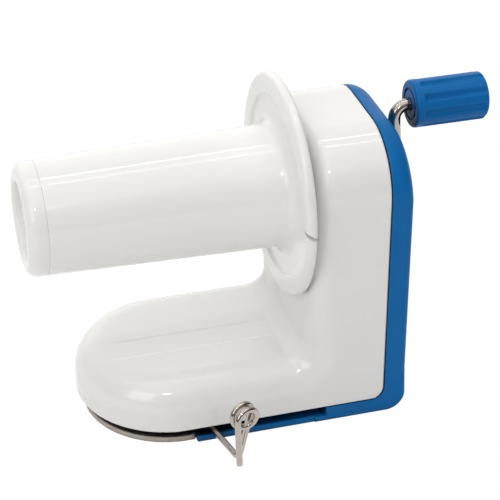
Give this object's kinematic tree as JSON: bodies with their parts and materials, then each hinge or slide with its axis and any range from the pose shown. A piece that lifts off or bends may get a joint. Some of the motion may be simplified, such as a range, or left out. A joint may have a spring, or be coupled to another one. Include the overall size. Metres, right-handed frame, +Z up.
{
  "type": "yarn ball winder",
  "caption": "Hand-cranked yarn ball winder: a flanged hollow spindle circles at a tilt above a clamp foot, driven through gears, with a swinging wire yarn guide.",
  "frame": {"origin": "on the underside, below the seam between the front and rear shells, at mid width", "axes": "+X towards the crank, +Z up, -Y towards the yarn guide"},
  "size_m": [0.1898, 0.1083, 0.1347],
  "materials": {
    "white_plastic": "glossy moulded white",
    "blue_plastic": "satin moulded blue",
    "cream_plastic": "matte cream pad",
    "nylon": "natural moulded",
    "bronze": "plain turned",
    "bright_steel": "bright plated wire",
    "screw_steel": "zinc plated"
  },
  "bodies": {
    "housing": {"front_shell": "white_plastic", "rear_shell": "blue_plastic", "toe_pad": "cream_plastic", "bearing_plate": "nylon", "rotor_bush": "bronze", "sun_gear": "nylon", "crank_bush_front": "bronze", "crank_bush_rear": "bronze", "shell_screws": "screw_steel", "plate_screws": "screw_steel", "base_screws": "screw_steel", "guide_clip": "screw_steel"},
    "crank": {"crank_rod": "bright_steel", "crank_gear": "nylon", "gear_pin": "screw_steel", "crank_spacer": "nylon", "crank_washer": "screw_steel", "grip_retainer": "screw_steel"},
    "grip": {"grip": "blue_plastic", "grip_cap": "blue_plastic"},
    "rotor": {"rotor_shaft": "bright_steel", "rotor_pinion": "nylon", "carrier": "nylon", "spindle_axle": "bright_steel", "planet_pin": "screw_steel", "rotor_clip": "screw_steel", "axle_washer": "screw_steel", "axle_screw": "screw_steel"},
    "planet": {"planet_gear": "bronze"},
    "spindle": {"spindle_tube": "white_plastic", "tip_cap": "white_plastic", "ring_gear": "nylon", "spindle_bush_rear": "bronze", "spindle_bush_front": "bronze"},
    "guide": {"yarn_guide": "bright_steel", "guide_collar": "nylon"}
  },
  "joints": [
    {"name": "crank_turn", "type": "hinge", "parent": "housing", "child": "crank", "pos_m": [0, 0, 0.06758], "axis": [1, 0, 0], "continuous": true},
    {"name": "rotor_spin", "type": "hinge", "parent": "housing", "child": "rotor", "pos_m": [-0.0332, 0, 0.0905], "axis": [0.999, 0, -0.0436], "continuous": true},
    {"name": "planet_spin", "type": "hinge", "parent": "rotor", "child": "planet", "pos_m": [-0.0325, 0, 0.07748], "axis": [0.999, 0, -0.0436], "continuous": true},
    {"name": "spindle_spin", "type": "hinge", "parent": "rotor", "child": "spindle", "pos_m": [-0.0332, 0, 0.0905], "axis": [1, 0, 0], "continuous": true},
    {"name": "grip_spin", "type": "hinge", "parent": "crank", "child": "grip", "pos_m": [0.039, 0.00958, 0.11267], "axis": [1, 0, 0], "continuous": true},
    {"name": "guide_swing", "type": "hinge", "parent": "housing", "child": "guide", "pos_m": [-0.0724, -0.027, 0.0045], "axis": [0, 0, 1], "range_deg": [-30, 30]}
  ],
  "couplings": [
    {"joint": "rotor_spin", "follows": "crank_turn", "ratio": -2.6667},
    {"joint": "planet_spin", "follows": "crank_turn", "ratio": -2.2857},
    {"joint": "spindle_spin", "follows": "crank_turn", "ratio": -0.8}
  ]
}
